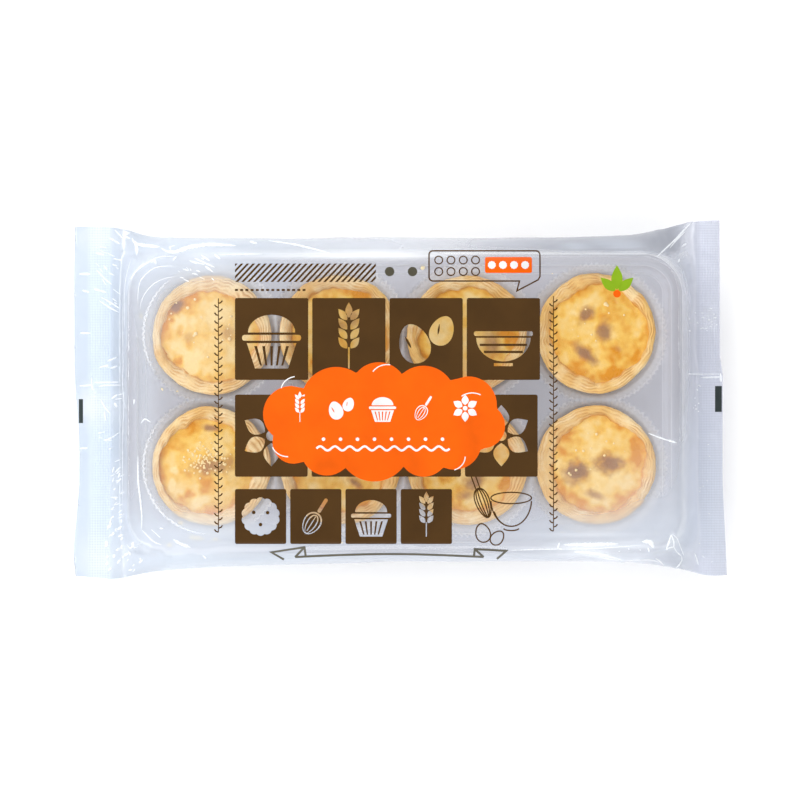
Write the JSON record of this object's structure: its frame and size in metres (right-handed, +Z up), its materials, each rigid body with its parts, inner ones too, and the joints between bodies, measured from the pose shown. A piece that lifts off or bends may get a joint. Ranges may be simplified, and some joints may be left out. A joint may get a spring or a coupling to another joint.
{
  "type": "sealed tray pack of small egg tarts",
  "caption": "Clear film pack with crimped ends, holding a fluted tray of small baked egg tarts.",
  "frame": {"origin": "middle of the bounding box, on the flat base", "axes": "+X along the pack towards its narrower end seal, +Y across the pack, +Z up out of the printed face"},
  "size_m": [0.28, 0.1512, 0.029],
  "materials": {
    "film": "thin clear wrap, glossy and slightly hazy, wrinkled, with crimped ends",
    "tray": "milky translucent formed sheet with fluted cups",
    "pastry": "pale golden baked puff pastry in thin leaves, dry and matt",
    "custard": "yellow baked custard, moist, with amber edges and brown scorched patches",
    "print_brown": "dark brown ink on the film",
    "print_orange": "bright orange ink on the film",
    "print_white": "opaque white ink on the film",
    "print_green": "leaf green ink on the film"
  },
  "bodies": {
    "root": {"sealed_pack": "film"}
  },
  "joints": []
}
